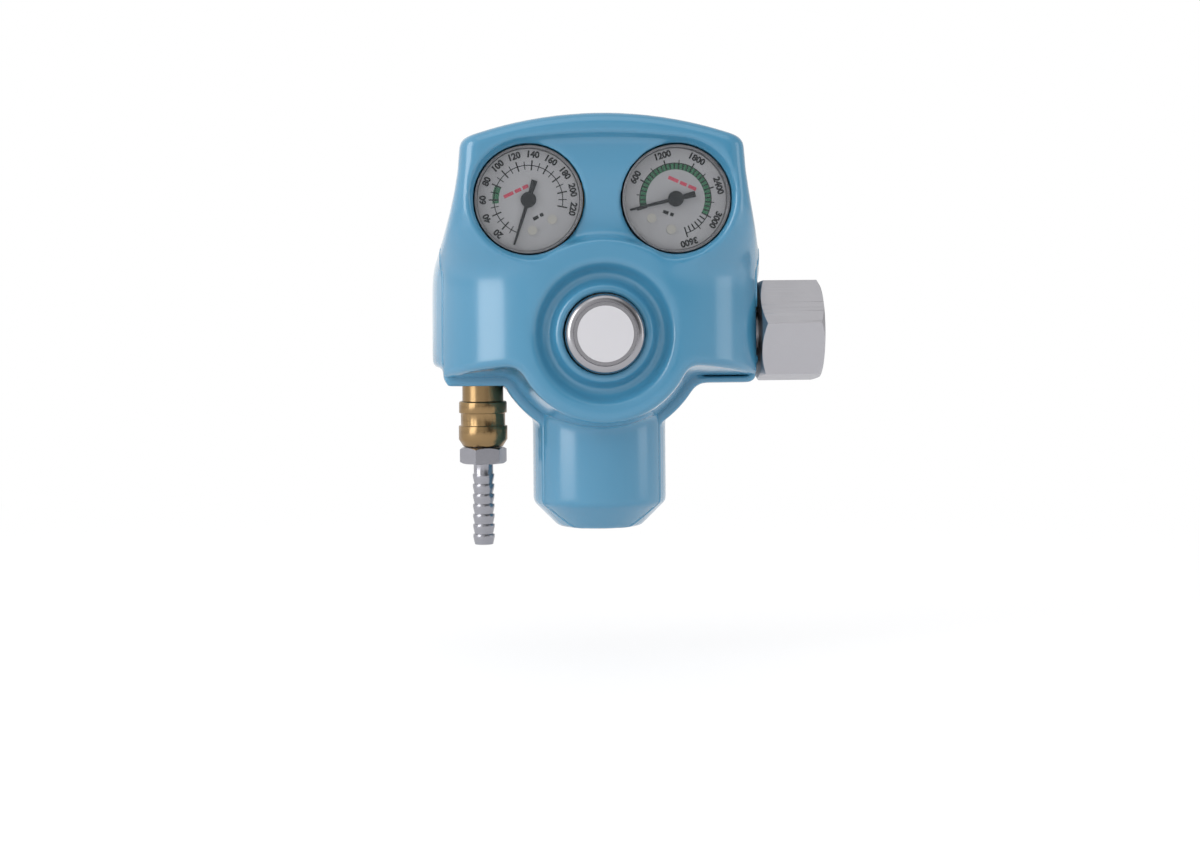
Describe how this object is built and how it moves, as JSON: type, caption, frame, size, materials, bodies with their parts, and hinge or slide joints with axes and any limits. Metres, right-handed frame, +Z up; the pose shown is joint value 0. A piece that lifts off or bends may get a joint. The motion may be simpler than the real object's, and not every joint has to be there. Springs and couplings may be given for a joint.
{
  "type": "oxygen pressure regulator",
  "caption": "Shrouded gas pressure regulator with round gauges above a plugged dish, a hexagon inlet nut at one side and a quick coupling with a barbed hose tail below.",
  "frame": {"origin": "centre of the inlet nut's thread at its mouth, on the inlet axis", "axes": "+X out of the inlet nut along its axis, +Z up, the gauges facing -Y"},
  "size_m": [0.1315, 0.0643, 0.1436],
  "materials": {
    "cover": "glossy moulded plastic",
    "brass": "machined",
    "nut": "bright plated",
    "nipple": "bright plated",
    "coupler": "machined and lightly plated",
    "tail": "plated",
    "plug": "bright plated",
    "disc": "satin",
    "gauge_case": "satin",
    "lens": "clear moulded",
    "dial": "matt printed",
    "pointer": "matt",
    "movement": "stamped",
    "screw": "zinc plated",
    "steel": "ground",
    "spring": "drawn wire",
    "seal": "matt",
    "seat": "satin",
    "filter": "sintered"
  },
  "bodies": {
    "regulator": {"front_cover": "cover", "rear_cover": "cover", "regulator_body": "brass", "nozzle": "brass", "stem_o_ring": "seal", "main_spring": "spring", "bonnet": "brass", "inlet_nipple": "nipple", "inlet_filter": "filter", "inlet_washer": "seat", "centre_plug": "plug", "plug_disc": "disc", "plug_o_ring": "seal", "relief_valve_body": "brass", "relief_spring": "spring", "coupler_body": "coupler", "sleeve_spring": "spring", "sleeve_clip": "spring", "coupler_o_ring": "seal", "locking_balls": "steel", "cover_screws": "screw", "body_screws": "screw", "contents_gauge_case": "gauge_case", "contents_gauge_lens": "lens", "contents_dial": "dial", "contents_dial_screws": "screw", "contents_gauge_movement": "movement", "contents_gauge_socket": "brass", "contents_gauge_seal": "seal", "contents_bourdon_tube": "movement", "outlet_gauge_case": "gauge_case", "outlet_gauge_lens": "lens", "outlet_dial": "dial", "outlet_dial_screws": "screw", "outlet_gauge_movement": "movement", "outlet_gauge_socket": "brass", "outlet_gauge_seal": "seal", "outlet_bourdon_tube": "movement"},
    "inlet_nut": {"inlet_nut": "nut"},
    "contents_pointer": {"contents_pointer": "pointer"},
    "outlet_pointer": {"outlet_pointer": "pointer"},
    "coupler_sleeve": {"coupler_sleeve": "coupler"},
    "hose_tail": {"hose_tail": "tail"},
    "piston": {"piston": "brass", "valve_seat": "seat", "piston_o_ring": "seal"},
    "relief_poppet": {"relief_poppet": "brass"}
  },
  "joints": [
    {"name": "inlet_nut_turn", "type": "hinge", "parent": "regulator", "child": "inlet_nut", "pos_m": [-0.0096, 0, 0], "axis": [1, 0, 0], "continuous": true},
    {"name": "contents_pointer_turn", "type": "hinge", "parent": "regulator", "child": "contents_pointer", "pos_m": [-0.0504, -0.026, 0.044], "axis": [0, 1, 0], "range_deg": [0, 270]},
    {"name": "outlet_pointer_turn", "type": "hinge", "parent": "regulator", "child": "outlet_pointer", "pos_m": [-0.0988, -0.026, 0.044], "axis": [0, 1, 0], "range_deg": [0, 270]},
    {"name": "coupler_sleeve_slide", "type": "slide", "parent": "regulator", "child": "coupler_sleeve", "axis": [0, 0, 1], "range_m": [0, 0.0035], "stiffness_N_per_m": 300, "springref_m": -0.004, "deforming": ["sleeve_spring"]},
    {"name": "hose_tail_turn", "type": "hinge", "parent": "regulator", "child": "hose_tail", "pos_m": [-0.114, 0, -0.05], "axis": [0, 0, 1], "continuous": true},
    {"name": "piston_slide", "type": "slide", "parent": "regulator", "child": "piston", "axis": [0, 0, 1], "range_m": [0, 0.0008], "stiffness_N_per_m": 2000, "springref_m": -0.004, "deforming": ["main_spring"]},
    {"name": "relief_poppet_slide", "type": "slide", "parent": "regulator", "child": "relief_poppet", "axis": [0, 1, 0], "range_m": [0, 0.0012], "stiffness_N_per_m": 500, "springref_m": -0.003, "deforming": ["relief_spring"]}
  ]
}
